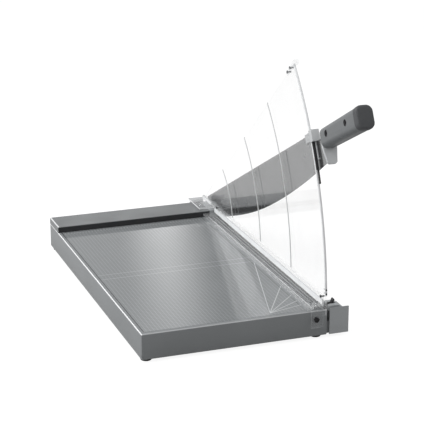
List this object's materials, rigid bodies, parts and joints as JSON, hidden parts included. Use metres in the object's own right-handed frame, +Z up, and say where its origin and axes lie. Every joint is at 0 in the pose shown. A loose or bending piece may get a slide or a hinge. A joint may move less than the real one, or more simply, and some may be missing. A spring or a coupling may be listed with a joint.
{
  "type": "paper cutter",
  "caption": "Lever paper cutter: a flat grey base with a printed table and a fence, a clear curved guard that clamps the paper, and a long curved blade with a grip.",
  "frame": {"origin": "on the ground under the middle of the cutter, with the arm raised as it stands at rest", "axes": "+X towards the cutting side, at the user's right, +Y from the front of the base to the fence, +Z up"},
  "size_m": [0.3106, 0.6248, 0.3807],
  "materials": {
    "housing_grey": "satin",
    "dark_sheet": "satin",
    "dark_screw": "semi-gloss",
    "foot_rubber": "matt",
    "table_print": "gloss with a fine printed grid",
    "scale_print": "gloss with printed scales",
    "fence_black": "satin",
    "brushed_cover": "brushed",
    "blade_steel": "ground",
    "screw_steel": "plain",
    "cast_block": "cast and machined",
    "bolt_steel": "turned",
    "washer_brass": "plain",
    "spring_steel": "bright",
    "black_plastic": "matt",
    "dark_plastic": "matt",
    "end_grey": "anodised, faintly brushed",
    "light_plastic": "satin",
    "clear_plastic": "clear polished",
    "rail_grey": "satin",
    "stiffener_grey": "painted grey",
    "grip_grey": "satin",
    "cap_rubber": "soft matt"
  },
  "bodies": {
    "root": {"base_housing": "housing_grey", "bottom_plate": "dark_sheet", "bottom_screws": "dark_screw", "rubber_feet": "foot_rubber", "foot_screws": "dark_screw", "table_plate": "table_print", "scale_strip": "scale_print", "fence_body": "fence_black", "fence_cover": "brushed_cover", "fence_screws": "dark_screw", "counter_blade": "blade_steel", "counter_blade_screws": "screw_steel", "pivot_block": "cast_block", "pivot_block_screws": "dark_screw", "pivot_bolt": "bolt_steel", "thrust_washer": "washer_brass", "cup_springs": "spring_steel", "outer_washer": "bolt_steel", "front_guide_screw": "dark_screw", "rear_guide_screw": "dark_screw", "front_lift_spring": "spring_steel", "rear_lift_spring": "spring_steel", "end_carrier": "dark_plastic", "carrier_screws": "dark_screw", "end_plate": "end_grey", "end_plate_screws": "dark_screw", "latch_housing": "light_plastic", "latch_screws": "dark_screw", "latch_pin": "spring_steel"},
    "arm": {"blade": "blade_steel", "pivot_bush": "washer_brass", "arm_stiffener": "stiffener_grey", "stiffener_screws": "screw_steel", "rim_collar": "light_plastic", "rim_wiper": "black_plastic", "collar_screws": "screw_steel", "knuckle_guard": "light_plastic", "grip_left": "grip_grey", "grip_right": "grip_grey", "grip_screws": "dark_screw", "grip_nuts": "screw_steel", "grip_cap": "cap_rubber", "catch_pin": "spring_steel"},
    "guard": {"guard_plate": "clear_plastic", "rim_rail": "rail_grey", "rim_stop": "clear_plastic", "rim_stop_screws": "dark_screw", "rim_foot_screws": "dark_screw", "clamp_rail": "clear_plastic", "rail_screws": "dark_screw", "front_guide": "clear_plastic", "rear_guide": "clear_plastic", "guide_screws": "dark_screw"},
    "latch": {"latch_lever": "black_plastic"}
  },
  "joints": [
    {"name": "arm_hinge", "type": "hinge", "parent": "root", "child": "arm", "pos_m": [0.1236, 0.28205, 0.0382], "axis": [-1, 0, 0], "range_deg": [-24.5, 10]},
    {"name": "clamp_press", "type": "slide", "parent": "root", "child": "guard", "axis": [0, 0, -1], "range_m": [0, 0.0035], "stiffness_N_per_m": 3000, "springref_m": -0.004, "deforming": ["front_lift_spring", "rear_lift_spring"]},
    {"name": "latch_tilt", "type": "hinge", "parent": "root", "child": "latch", "pos_m": [0.1313, -0.18895, 0.0342], "axis": [0, -1, 0], "range_deg": [0, 17]}
  ]
}
